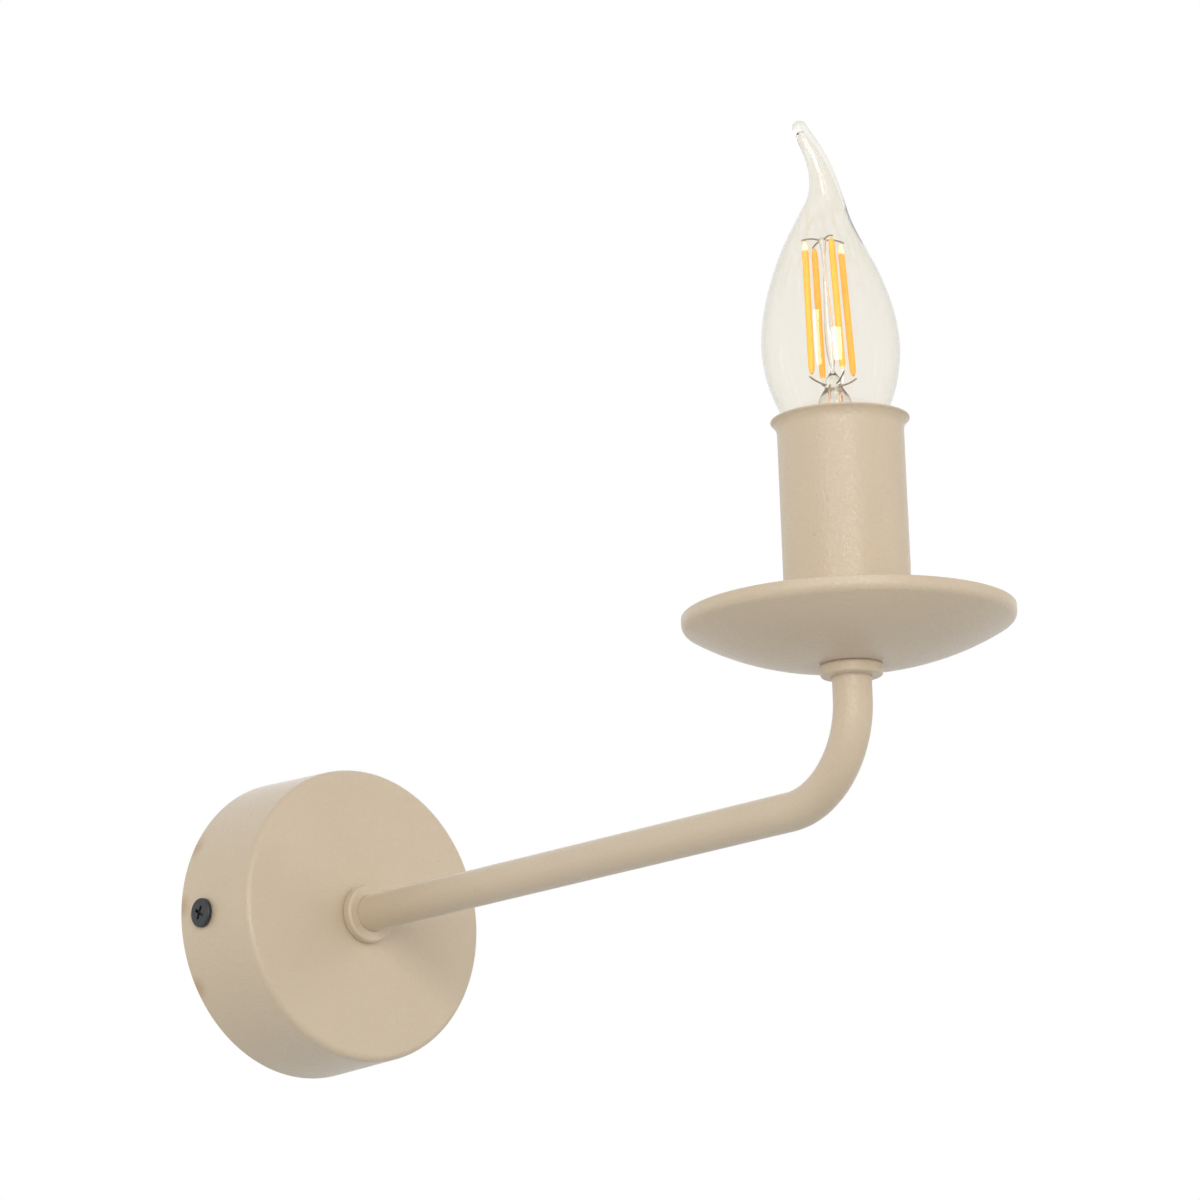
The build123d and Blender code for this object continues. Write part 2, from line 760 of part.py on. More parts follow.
def bulb_stem():
    """Glass stem: a flared tube in the neck, a bulge, the press and the rod that holds the filaments."""
    waist = stem_waist_diameter / 2
    bulge = stem_bulge_diameter / 2
    press = press_diameter / 2
    flare = stem_flare_diameter / 2
    stem = turned([
        (flare - stem_wall, stem_flare_height), (flare, stem_flare_height), (waist, stem_waist_height),
        (bulge, stem_bulge_height), (press, press_foot_height), (press, press_height),
        (0, press_height), (0, stem_waist_height), (waist - stem_wall, stem_waist_height)])
    rod_top = filament_high + filament_diameter
    return bulb_seat * (stem + disc(support_rod_diameter, press_height, rod_top))


def beside_rod(step, radius, height):
    """Point at a radius and height, in the direction of one filament."""
    turn = radians(filament_turn + 360 * step / filament_count)
    return (radius * cos(turn), radius * sin(turn), height)


def bulb_filaments():
    """Round coated filaments that lean in a little towards the top."""
    rods = []
    for step in range(filament_count):
        low = beside_rod(step, filament_low_radius, filament_low)
        high = beside_rod(step, filament_high_radius, filament_high)
        rods.append(rod(low, high, filament_diameter))
    return bulb_seat * Compound(children=rods)


def bulb_leads():
    """Thin wires from the press to the feet of the filaments, and from the rod's top to their heads."""
    press = press_diameter / 2 + lead_diameter
    hub = (support_rod_diameter + lead_diameter) / 2
    crown = filament_high + filament_diameter / 2
    leads = []
    for step in range(filament_count):
        press_end = beside_rod(step, press, press_height - lead_foot_drop)
        foot = beside_rod(step, filament_low_radius, filament_low - lead_diameter)
        hub_end = beside_rod(step, hub, crown)
        head = beside_rod(step, filament_high_radius, filament_high + lead_diameter)
        leads.append(rod(press_end, foot, lead_diameter))
        leads.append(rod(hub_end, head, lead_diameter))
    return bulb_seat * Compound(children=leads)


pieces = {
    "wall_bracket": wall_bracket(),
    "wall_cup": wall_cup(),
    "cup_screw_left": cup_screw(-1),
    "cup_screw_right": cup_screw(1),
    "front_collar": from_wall(cup_depth) * collar(),
    "arm_tube": arm_tube(),
    "arm_washer": from_wall(arm_washer_low) * toothed_washer(),
    "arm_nut": from_wall(arm_nut_low) * thread_nut(),
    "earth_screw": earth_screw(),
    "arm_earth_tag": from_wall(arm_tag_low) * earth_tag(tube_diameter + slip_gap),
    "bracket_earth_tag": from_wall(drawn_collar_top) * earth_place * earth_tag(screw_thread + slip_gap),
    "earth_wire": earth_wire(),
    "terminal_block": terminal_block(),
    "terminal_tubes": terminal_tubes(),
    "terminal_screws": terminal_screws(),
    "block_screw": block_screw(),
    "live_wire": lamp_wire(1),
    "neutral_wire": lamp_wire(-1),
    "upper_collar": up_riser(upper_collar_height) * collar(),
    "drip_pan": drip_pan(),
    "candle_sleeve": candle_sleeve(),
    "sleeve_washer": up_riser(sleeve_washer_low) * toothed_washer(),
    "sleeve_nut": up_riser(sleeve_nut_low) * thread_nut(),
    "holder_bush": holder_bush(),
    "holder_dome": holder_dome(),
    "holder_core": holder_core(),
    "holder_skirt": holder_skirt(),
    "centre_contact": centre_contact(),
    "side_contact": side_contact(),
    "holder_screws": holder_screws(),
    "bulb_eyelet": bulb_eyelet(),
    "bulb_insulator": bulb_insulator(),
    "bulb_cap": bulb_cap(),
    "bulb_driver": bulb_driver(),
    "bulb_glass": bulb_glass(),
    "bulb_stem": bulb_stem(),
    "bulb_filaments": bulb_filaments(),
    "bulb_leads": bulb_leads(),
}

os.makedirs("parts", exist_ok=True)
for name, piece in pieces.items():
    export_step(piece, f"parts/{name}.step")
print("eyelet height", round(eyelet_low, 3), "lean centre height", round(lean_centre, 3))
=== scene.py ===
# %% [markdown]
# A wall sconce: a round cup on the wall, a bent tube arm, a drip pan, a candle sleeve and a bent-tip
# candle bulb. The lamp was drawn as solids first, and they come in here as a fixed frame, in metres. The
# solids could all be drawn again in Blender, but then two shapes would have to be kept alike. So each
# solid that already looks right keeps its mesh and only gets a finish, and new surfaces are made where a
# plain solid can't show the real piece.

# %% Load the solids
import json
import bmesh
import bpy
import numpy as np
from mathutils import Matrix, Vector


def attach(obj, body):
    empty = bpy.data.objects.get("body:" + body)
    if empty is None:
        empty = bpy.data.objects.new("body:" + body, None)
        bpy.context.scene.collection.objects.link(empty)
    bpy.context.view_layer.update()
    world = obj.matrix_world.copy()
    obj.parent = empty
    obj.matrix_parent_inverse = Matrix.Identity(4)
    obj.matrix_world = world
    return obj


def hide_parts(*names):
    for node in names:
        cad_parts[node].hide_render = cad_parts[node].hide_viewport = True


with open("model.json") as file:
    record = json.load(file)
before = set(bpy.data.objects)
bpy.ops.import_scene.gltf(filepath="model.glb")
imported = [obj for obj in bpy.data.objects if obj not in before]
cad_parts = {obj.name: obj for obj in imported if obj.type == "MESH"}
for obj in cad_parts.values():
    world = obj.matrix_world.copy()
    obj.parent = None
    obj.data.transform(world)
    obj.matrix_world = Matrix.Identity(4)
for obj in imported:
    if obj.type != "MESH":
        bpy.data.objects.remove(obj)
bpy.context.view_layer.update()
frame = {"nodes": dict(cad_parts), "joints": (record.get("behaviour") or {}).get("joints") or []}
nodes = frame["nodes"]

# %% [markdown]
# The photograph was taken with a long lens from below and to the left. A camera can be placed by eye, but
# here its place was worked out from the ellipses of the cup, the pan and the sleeve, so the lamp falls
# where it does in the picture. It is written as a direction round the lamp, a distance and a small roll
# about the line of sight.

# %% Camera
lamp_middle = Vector((0.00943, -0.120, 0.0714))
camera_azimuth = -40.935
camera_elevation = -12.644
camera_distance = 1.56
camera_roll = np.radians(-2.094)
lens_length = 176.645
sensor_width = 36


def direction(azimuth, elevation):
    """Unit vector from the lamp, by degrees round it (0 out from the wall, 90 to the right) and upwards."""
    turn, rise = np.radians([azimuth, elevation])
    return Vector((np.sin(turn) * np.cos(rise), -np.cos(turn) * np.cos(rise), np.sin(rise)))


towards_camera = direction(camera_azimuth, camera_elevation)
level_right = Vector((0, 0, 1)).cross(towards_camera).normalized()
level_up = towards_camera.cross(level_right)
image_right = np.cos(camera_roll) * level_right + np.sin(camera_roll) * level_up
image_up = towards_camera.cross(image_right)

camera_data = bpy.data.cameras.new("photo_camera")
camera_data.lens = lens_length
camera_data.sensor_width = sensor_width
camera = bpy.data.objects.new("photo_camera", camera_data)
turned = Matrix((image_right, image_up, towards_camera)).transposed().to_4x4()
camera.matrix_world = Matrix.Translation(lamp_middle + camera_distance * towards_camera) @ turned
bpy.context.scene.collection.objects.link(camera)
bpy.context.scene.camera = camera
bpy.context.scene.view_settings.view_transform = "Standard"
print("camera at", tuple(camera.location))

# %% [markdown]
# Shader sums read best as sums. A node editor shows them as boxes and wires, and a script can add each
# box by hand, but one small class does it here: it wraps a socket, and an operator between wrapped
# sockets and numbers adds a Math node.

# %% Sums of sockets
class Signal:
    """A socket that can be used in sums: each operator adds a Math node and gives its result."""

    def __init__(self, finish, socket):
        self.finish = finish
        self.socket = socket

    def math(self, operation, *terms):
        """Result of a Math node with these terms."""
        return self.finish.node("Math", {"operation": operation}, dict(enumerate(terms)))

    def __add__(self, other):
        return self.math("ADD", self, other)

    def __radd__(self, other):
        return self.math("ADD", other, self)

    def __sub__(self, other):
        return self.math("SUBTRACT", self, other)

    def __rsub__(self, other):
        return self.math("SUBTRACT", other, self)

    def __mul__(self, other):
        return self.math("MULTIPLY", self, other)

    def __rmul__(self, other):
        return self.math("MULTIPLY", other, self)

    def __pow__(self, other):
        return self.math("POWER", self, other)

    def most(self, other):
        """The larger of two signals."""
        return self.math("MAXIMUM", self, other)

    def sine(self):
        """Sine of a signal in radians."""
        return self.math("SINE", self)

    def step(self, low, high):
        """Rises smoothly from 0 where the signal is low to 1 where it is high."""
        limits = {"Value": self, "From Min": low, "From Max": high}
        return self.finish.node("MapRange", {"interpolation_type": "SMOOTHSTEP"}, limits)


print("sockets can be added, subtracted, multiplied and raised to a power")

# %% [markdown]
# A material is a tree of nodes. It could be wired up in the node editor, but then it could not be read
# here. So a second class holds one material while it is put together: a single method adds any kind of
# node, and short methods name the patterns that the finishes share.

# %% Materials
class Finish:
    """One material, or the world, while its nodes are put together."""

    def __init__(self, material):
        self.material = material
        self.material.use_nodes = True
        self.tree = self.material.node_tree
        self.tree.nodes.clear()
        self.place = self.node("TexCoord", out="Object")

    def node(self, kind, settings={}, sockets={}, out=0):
        """Adds a node of a kind, sets its settings, then feeds its sockets, and gives one of its outputs."""
        made = self.tree.nodes.new("ShaderNode" + kind)
        for key, value in settings.items():
            setattr(made, key, value)
        for key, value in sockets.items():
            socket = made.inputs[key]
            if isinstance(value, Signal):
                self.tree.links.new(value.socket, socket)
            elif socket.type == "RGBA":
                socket.default_value = (*value, 1.0)
            else:
                socket.default_value = value
        return Signal(self, made.outputs[out]) if made.outputs else made

    def noise(self, grain, detail=2.0, squeeze=(1, 1, 1)):
        """Soft random pattern from 0 to 1, with grains of a size in metres, squeezed along each axis."""
        place = self.node("Mapping", {}, {"Vector": self.place, "Scale": squeeze})
        return self.node("TexNoise", {}, {"Vector": place, "Scale": 1 / grain, "Detail": detail})

    def along(self, axis):
        """Place along X, Y or Z, in metres."""
        return self.node("SeparateXYZ", {}, {0: self.place}, out=axis)

    def far_from(self, point):
        """Distance from a point, in metres."""
        return self.node("VectorMath", {"operation": "DISTANCE"}, {0: self.place, 1: point}, out="Value")

    def mark(self, name):
        """Value that the points of a piece carry under a name."""
        return self.node("Attribute", {"attribute_name": name}, out="Fac")

    def edge(self):
        """0 where the surface is seen face-on, 1 where it is seen edge-on."""
        return self.node("LayerWeight", {}, {"Blend": 0.5}, out="Facing")

    def mix(self, share, first, second):
        """Colour that goes from the first to the second as the share goes from 0 to 1."""
        return self.node("Mix", {"data_type": "RGBA"}, {0: share, 6: first, 7: second}, out=2)

    def bump(self, height, depth):
        """Normal of a surface whose relief is a height from 0 to 1 times a depth in metres."""
        return self.node("Bump", {}, {"Height": height, "Distance": depth, "Strength": 1.0})

    def shade(self, sockets):
        """Ends the material in the main shader, and gives the material."""
        shader = self.node("BsdfPrincipled", {}, sockets)
        self.node("OutputMaterial", {}, {"Surface": shader})
        return self.material


def new_finish(name):
    """An empty material to put together."""
    return Finish(bpy.data.materials.new(name))


print("finishes share noises, places, distances, marks, edges, mixed colours and bumps")

# %% [markdown]
# A colour is written as it looks on a screen, from 0 to 255, because that is how a picture shows it. A
# shader wants the share of light that a surface sends back, so each colour is turned into shares first,
# by the curve that all screens follow. A finished material then goes on to the solids that wear it. They
# could be picked in the viewport, but each has a name of its own.

# %% Colours and solids
def linear(red, green, blue):
    """Shares of light of a screen colour from 0 to 255: straight near black, and a power of 2.4 above."""
    screen = np.array([red, green, blue]) / 255
    steep = ((screen + 0.055) / 1.055) ** 2.4
    return tuple(float(share) for share in np.where(screen <= 0.04045, screen / 12.92, steep))


def dress(material, *names):
    """Gives solids of the frame a material."""
    for name in names:
        nodes[name].data.materials.clear()
        nodes[name].data.materials.append(material)
    print(material.name, "on", ", ".join(names))


print("a screen colour of 128 is a share of light of", linear(128, 128, 128)[0])

# %% [markdown]
# The picture shows the lamp in front of a bright white backdrop. A backdrop could be a sheet behind the
# lamp, but it would stand in the way of other views, so the world itself is the studio. To the camera, in
# mirrors and through glass it is plain white. The light that it sheds on the lamp is white from a wide
# patch on the far side, which brightens the edges, and a softer grey from elsewhere. The cosine of the
# angle from straight behind says where the patch ends.

# %% Studio
soft_strength = 0.43
patch_edge = 0.15
patch_core = 0.65


def seen_rays(finish):
    """1 for rays from the camera, from a mirror or through glass, and 0 for rays that carry soft light."""
    seen = finish.node("LightPath", out="Is Camera Ray")
    for ray in ("Is Glossy Ray", "Is Transmission Ray"):
        seen = seen.most(finish.node("LightPath", out=ray))
    return seen


studio = Finish(bpy.data.worlds.new("studio"))
bpy.context.scene.world = studio.material
soft_light = studio.node("Background", {}, {"Color": (1, 1, 1), "Strength": soft_strength})
white_light = studio.node("Background", {}, {"Color": (1, 1, 1), "Strength": 1.0})
directions = {0: studio.place, 1: -towards_camera}
behind = studio.node("VectorMath", {"operation": "DOT_PRODUCT"}, directions, out="Value")
white_share = seen_rays(studio).most(behind.step(patch_edge, patch_core))
shown = studio.node("MixShader", {}, {0: white_share, 1: soft_light, 2: white_light})
studio.node("OutputWorld", {}, {"Surface": shown})
print("studio light of", soft_strength, "round the lamp and 1 behind it")

# %% [markdown]
# A pale floor lies where it would be in a room, far below the lamp. It could be left out, but then light
# would come up from below as brightly as from the sides. It takes light as matt paint does, and looks
# plain to the camera, in mirrors and through glass, as the studio does.

# %% Floor
floor_drop = 1.6
floor_half = 40.0
floor_patches = 0.4
floor_dark = (0.62, 0.62, 0.61)
floor_light = (0.67, 0.67, 0.66)
floor_roughness = 0.7
floor_seen = (0.93, 0.93, 0.92)

square = np.array([(-1, -1, 0), (1, -1, 0), (1, 1, 0), (-1, 1, 0)])
corners = floor_half * square - np.array((0, 0, floor_drop))
floor_mesh = bpy.data.meshes.new("floor")
floor_mesh.from_pydata(corners.tolist(), [], [(0, 1, 2, 3)])
floor = bpy.data.objects.new("floor", floor_mesh)
bpy.context.scene.collection.objects.link(floor)
pale = new_finish("pale floor")
floor_colour = pale.mix(pale.noise(floor_patches), floor_dark, floor_light)
lit = pale.node("BsdfPrincipled", {}, {"Base Color": floor_colour, "Roughness": floor_roughness})
plain = pale.node("Emission", {}, {"Color": floor_seen, "Strength": 1.0})
lit_or_plain = pale.node("MixShader", {}, {0: seen_rays(pale), 1: lit, 2: plain})
pale.node("OutputMaterial", {}, {"Surface": lit_or_plain})
floor_mesh.materials.append(pale.material)
print("floor", floor_drop, "m below the wall screws")

# %% [markdown]
# Soft boxes light the lamp: lamps behind a sheet of cloth, whose shadows have soft edges. Bare lamps
# would do the same with hard shadows. A small box beside the camera and a tall strip to its left also
# show as bright shapes on the glass, as in the picture. Two wide boxes only fill the shadows on the right
# and from behind, so they are hidden from mirrors and glass.

# %% Soft boxes
box_distance = 1.6


def soft_box(name, azimuth, elevation, size, power, mirrored=True):
    """Upright rectangle of light, width by height, that shines on the middle of the lamp from a direction.

    A box that isn't mirrored lights the lamp, but isn't seen in its gloss or through its glass.
    """
    light = bpy.data.lights.new(name, "AREA")
    light.shape = "RECTANGLE"
    light.size, light.size_y = size
    light.energy = power
    box = bpy.data.objects.new(name, light)
    out = direction(azimuth, elevation)
    box.location = lamp_middle + box_distance * out
    box.rotation_euler = out.to_track_quat("Z", "Y").to_euler()
    box.visible_glossy = mirrored
    box.visible_transmission = mirrored
    bpy.context.scene.collection.objects.link(box)
    print(name, power, "W")


soft_box("key box", azimuth=-31, elevation=5, size=(0.4, 0.7), power=7.3)
soft_box("left strip", azimuth=-62, elevation=10, size=(0.25, 1.2), power=5.8)
soft_box("right box", azimuth=38, elevation=8, size=(1.3, 1.5), power=7.0, mirrored=False)
soft_box("rear box", azimuth=-140, elevation=4, size=(1.0, 1.0), power=4.5, mirrored=False)

# %% [markdown]
# All the steel that shows is sprayed with one beige powder and baked. The powder melts into a matt skin
# with fine bumps like orange peel, which break up the shine. A picture of paint could be wrapped round
# each piece, but grains laid out in space fit every shape with no seams. So the peel, the grain, the
# sparkle and the slow change in colour are four noises of different size, and a pattern of cells gives a
# few dark flecks.

# %% Beige powder coat
beige_light = linear(213, 195, 169)
beige_dark = linear(199, 180, 153)
cloud_size = 0.03
cloud_share = 0.6
grain_size = 0.00045
peel_size = 0.0012
peel_share = 0.8
peel_depth = 0.00024
sparkle_size = 0.00055
sparkle_swing = 0.65
cloud_swing = 0.06
fleck_brown = linear(140, 116, 88)
fleck_spacing = 0.010
fleck_core = 0.0001
fleck_edge = 0.0005
fleck_share = 0.25
paint_roughness = 0.42
dusty = {"Sheen Weight": 0.5, "Sheen Roughness": 0.3, "Specular IOR Level": 0.65}


def powder_coat(name):
    """Paint with peel, grain, sparkle, clouds and flecks: the finish, its colour, roughness and relief."""
    paint = new_finish(name)
    peel = paint.noise(peel_size, detail=3.0)
    grain = paint.noise(grain_size)
    sparkle = paint.noise(sparkle_size, detail=1.0)
    cloud = paint.noise(cloud_size)
    cells = {"Vector": paint.place, "Scale": 1 / fleck_spacing}
    from_fleck = fleck_spacing * paint.node("TexVoronoi", {}, cells, out="Distance")
    fleck = 1 - from_fleck.step(fleck_core, fleck_edge)
    colour = paint.mix(cloud_share * cloud + (1 - cloud_share) * grain, beige_dark, beige_light)
    colour = paint.mix(fleck_share * fleck, colour, fleck_brown)
    rough = paint_roughness + sparkle_swing * (sparkle - 0.5) + cloud_swing * (cloud - 0.5)
    return paint, colour, rough, peel_share * peel + (1 - peel_share) * grain


def baked(paint, colour, rough, relief):
    """Ends a powder coat: its relief becomes bumps, and a faint sheen makes it look dusty at a low angle."""
    bumps = paint.bump(relief, peel_depth)
    return paint.shade({"Base Color": colour, "Roughness": rough, "Normal": bumps, **dusty})


dress(baked(*powder_coat("beige powder coat")), "front_collar", "upper_collar", "drip_pan", "candle_sleeve")

# %% [markdown]
# The paint on the cup's rear edge turns brown at three places. The spots could be painted on to the mesh
# by hand, but each is a small round cloud, so the distance from its middle is enough to say how brown the
# paint is.

# %% Cup paint with brown spots
# Brown spots at three places on the cup's rear edge, each given across and up the wall.
spot_brown = linear(176, 140, 98)
spot_places = [(-0.0361, 0.0196), (-0.0410, 0.0030), (-0.0365, -0.0189)]
spot_off_wall = 0.0005
spot_core = 0.0005
spot_edge = 0.0045
spot_share = 0.55


def cup_coat():
    """Powder coat that turns brown near three points of the rear edge, each given across and up the wall."""
    paint, colour, rough, relief = powder_coat("beige powder coat, brown-spotted")
    spots = 0.0
    for across, up in spot_places:
        spots = spots + (1 - paint.far_from((across, -spot_off_wall, up)).step(spot_core, spot_edge))
    return baked(paint, paint.mix(spot_share * spots, colour, spot_brown), rough, relief)


dress(cup_coat(), "wall_cup")

# %% [markdown]
# The arm is painted too, but not its ends, which are threaded for the nuts and stay plated. The threads
# could be cut into a new surface, but they are hidden inside the lamp. So the finish changes where they
# begin, and fine ridges in its relief stand for them.

# %% Arm paint with bare threads
steel_grey = linear(176, 176, 172)
steel_smoother = 0.15
# Places in metres where the paint ends and where the bare steel is complete: along Y, and up Z.
bare_behind = (-0.0275, -0.0273)
bare_above = (0.0352, 0.0354)
ridge_radians = 6283.0
ridge_depth = 0.0006


def arm_coat():
    """Powder coat that stops at the threads, whose relief is a sine of place, a ridge each millimetre."""
    paint, colour, rough, relief = powder_coat("beige powder coat, threaded ends")
    out = paint.along("Y")
    up = paint.along("Z")
    bare = out.step(*bare_behind) + up.step(*bare_above)
    ridges = 0.5 + 0.5 * (ridge_radians * (out + up)).sine()
    peel = relief * (1 - bare) * (peel_depth / ridge_depth)
    return paint.shade({
        "Base Color": paint.mix(bare, colour, steel_grey),
        "Roughness": rough - steel_smoother * bare,
        "Metallic": bare,
        "Normal": paint.bump(peel + ridges * bare, ridge_depth),
        **dusty,
    })


dress(arm_coat(), "arm_tube")

# %% [markdown]
# The hardware is plated steel, blackened screws and brass. All of it could share one grey metal, but the
# sheen tells them apart: plating is cloudy with drawn lines, and brass goes dull in patches. One function
# makes them from a bright and a dull colour, and a squeezed noise gives the lines.

# %% Metals
patch_size = 0.006
patch_swing = 0.18
line_swing = 0.12
line_depth = 0.00002


def metal(name, bright, dull, roughness, grain, drawn=(1, 1, 1), metallic=1.0):
    """Metal that goes from bright to dull in patches, with fine lines from its drawing."""
    surface = new_finish(name)
    patches = surface.noise(patch_size, detail=3.0)
    lines = surface.noise(grain, squeeze=drawn)
    return surface.shade({
        "Base Color": surface.mix(patches, linear(*bright), linear(*dull)),
        "Metallic": metallic,
        "Roughness": roughness + patch_swing * (patches - 0.5) + line_swing * (lines - 0.5),
        "Normal": surface.bump(lines, line_depth),
    })


zinc = metal("zinc plating", (214, 213, 208), (178, 180, 182), roughness=0.36, grain=0.0006, drawn=(1, 1, 6))
black_oxide = metal("black oxide", (74, 75, 77), (50, 51, 53), roughness=0.42, grain=0.0004, metallic=0.7)
brass = metal("brass", (226, 192, 118), (178, 138, 78), roughness=0.32, grain=0.0005)
dress(zinc, "wall_bracket", "arm_washer", "arm_nut", "earth_screw", "block_screw", "sleeve_washer",
      "sleeve_nut", "holder_bush", "terminal_screws", "holder_screws")
dress(black_oxide, "cup_screw_left", "cup_screw_right")
dress(brass, "arm_earth_tag", "bracket_earth_tag", "terminal_tubes", "centre_contact", "side_contact",
      "bulb_eyelet")

# %% [markdown]
# The terminal block, the lampholder and the skins of the wires are moulded plastic, the holder's core is
# fired clay, and the bulb's foot has black glass and a small board. Each could have a recipe of its own,
# but all of them have an even fine grain and a slow change in colour, so one function and a short list
# serve for all.

# %% Plastics and fired clay
tone_size = 0.008
tone_share = 0.5
grain_swing = 0.2
mould_depth = 0.00003
# Each row: name, light colour, dark colour, roughness, grain in metres, and the solids that wear it.
moulded_finishes = [
    ("white block plastic", (238, 238, 232), (222, 222, 214), 0.45, 0.0005, ["terminal_block"]),
    ("black holder plastic", (44, 44, 45), (30, 30, 31), 0.42, 0.0004, ["holder_dome", "holder_skirt"]),
    ("fired clay", (236, 230, 216), (216, 208, 190), 0.7, 0.0003, ["holder_core"]),
    ("brown wire skin", (122, 76, 50), (98, 58, 38), 0.4, 0.0006, ["live_wire"]),
    ("blue wire skin", (62, 110, 178), (44, 86, 150), 0.4, 0.0006, ["neutral_wire"]),
    ("black cap glass", (34, 32, 38), (20, 19, 23), 0.18, 0.0008, ["bulb_insulator"]),
    ("green board", (58, 122, 72), (38, 92, 54), 0.35, 0.0005, ["bulb_driver"]),
]


def moulded(name, light, dark, roughness, grain):
    """Moulded or fired material with an even grain and a slow change in colour."""
    surface = new_finish(name)
    grains = surface.noise(grain)
    tone = surface.noise(tone_size)
    lightness = (1 - tone_share) * grains + tone_share * tone
    return surface.shade({
        "Base Color": surface.mix(lightness, linear(*dark), linear(*light)),
        "Roughness": roughness + grain_swing * (grains - 0.5),
        "Normal": surface.bump(grains, mould_depth),
    })


for name, light, dark, roughness, grain, wearers in moulded_finishes:
    dress(moulded(name, light, dark, roughness, grain), *wearers)

# %% [markdown]
# An earth wire has a skin in two colours, green on one side and yellow on the other. Two half tubes could
# be joined, but it is one piece on the real wire. So the colour changes across the middle of the wire,
# along a line that the grain makes a little uneven.

# %% Earth wire
earth_green = linear(70, 140, 60)
earth_yellow = linear(226, 198, 62)
skin_grain = 0.0006
skin_roughness = 0.35
seam_sway = 0.0004
seam_half = 0.0001


def earth_skin():
    """Wire skin that is green on one side and yellow on the other."""
    skin = new_finish("green and yellow wire skin")
    grains = skin.noise(skin_grain)
    side = (skin.along("X") + seam_sway * (grains - 0.5)).step(-seam_half, seam_half)
    return skin.shade({
        "Base Color": skin.mix(side, earth_green, earth_yellow),
        "Roughness": skin_roughness + grain_swing * grains,
        "Normal": skin.bump(grains, mould_depth),
    })


dress(earth_skin(), "earth_wire")

# %% [markdown]
# The bulb is drawn along its own axis, in millimetres above the contact at its foot, with its tip bent
# towards +X. It could be modelled upright and turned as an object, but a finished piece has its place in
# its mesh. So every point goes through one function, which leans the bulb in its thread, turns it and
# sets it on the lampholder's axis.

# %% Where the bulb stands
millimetre = 0.001
bulb_joint = next(joint for joint in frame["joints"] if joint["name"] == "bulb_turn")
bulb_pivot = np.array(bulb_joint["pos_m"])
pivot_height = 11.0
lean = np.radians(1.75)
turn = np.radians(139.5)
leaning = np.array([[np.cos(lean), 0, np.sin(lean)], [0, 1, 0], [-np.sin(lean), 0, np.cos(lean)]])
turning = np.array([[np.cos(turn), -np.sin(turn), 0], [np.sin(turn), np.cos(turn), 0], [0, 0, 1]])


def stand(points):
    """Bulb points in millimetres, leant and turned about the pivot, in metres in the lamp's frame."""
    lifted = points - np.array((0, 0, pivot_height))
    return bulb_pivot + millimetre * lifted @ (turning @ leaning).T


print("bulb axis", (turning @ leaning)[:, 2], "joint axis", bulb_joint["axis"])

# %% [markdown]
# Each new surface of the bulb is a grid of points, with rows along the piece and columns round it. Points
# could be joined one by one in the viewport, but a grid already says which points are neighbours. So one
# function joins them, and a second makes the mesh and sets it on its body.

# %% Grids into pieces
merge_distance = 1e-7


def joined(grids, closed):
    """Points of one or more grids, and the four-cornered faces between neighbouring rows and columns.

    Columns join in a ring, and a closed grid also joins its last row to its first. Faces are turned so that
    the volume inside them counts as positive, which points them outwards.
    """
    stack = grids.reshape((-1, *grids.shape[-3:]))
    points = stack.reshape(-1, 3)
    index = np.arange(len(points)).reshape(stack.shape[:3])
    lower = index if closed else index[:, :-1]
    upper = np.roll(index, -1, 1) if closed else index[:, 1:]
    faces = np.stack([lower, np.roll(lower, -1, 2), np.roll(upper, -1, 2), upper], -1).reshape(-1, 4)
    corner = points[faces] - points.mean(0)
    facing = np.cross(corner[:, 2] - corner[:, 0], corner[:, 3] - corner[:, 1])
    if np.sum(corner.mean(1) * facing) < 0:
        faces = faces[:, ::-1]
    return points, faces


def piece(name, grids, body, material, replaced, closed=False, marks={}):
    """Mesh from grids of points, which rides on a body and stands for the replaced solids.

    A row that is drawn in to one point becomes a pole. Marks are values of the points that a material can
    read by name.
    """
    points, faces = joined(grids, closed)
    mesh = bpy.data.meshes.new(name)
    mesh.from_pydata(points.tolist(), [], faces.tolist())
    for mark, values in marks.items():
        mesh.attributes.new(mark, "FLOAT", "POINT").data.foreach_set("value", values.astype(np.float32))
    merged = bmesh.new()
    merged.from_mesh(mesh)
    bmesh.ops.remove_doubles(merged, verts=merged.verts, dist=merge_distance)
    merged.to_mesh(mesh)
    merged.free()
    mesh.shade_smooth()
    mesh.materials.append(material)
    made = bpy.data.objects.new(name, mesh)
    bpy.context.scene.collection.objects.link(made)
    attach(made, body)
    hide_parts(*replaced)
    print(name, "has", len(mesh.vertices), "points and", len(mesh.polygons), "faces")


print("a grid of 3 rows and 4 columns has", len(joined(np.zeros((3, 4, 3)), False)[1]), "faces")

# %% [markdown]
# Most of the bulb's pieces are outlines turned about its axis. An outline could be typed in point by
# point, but it is known at a few heights only. So a smooth curve runs through those, and each of its
# points becomes a ring.

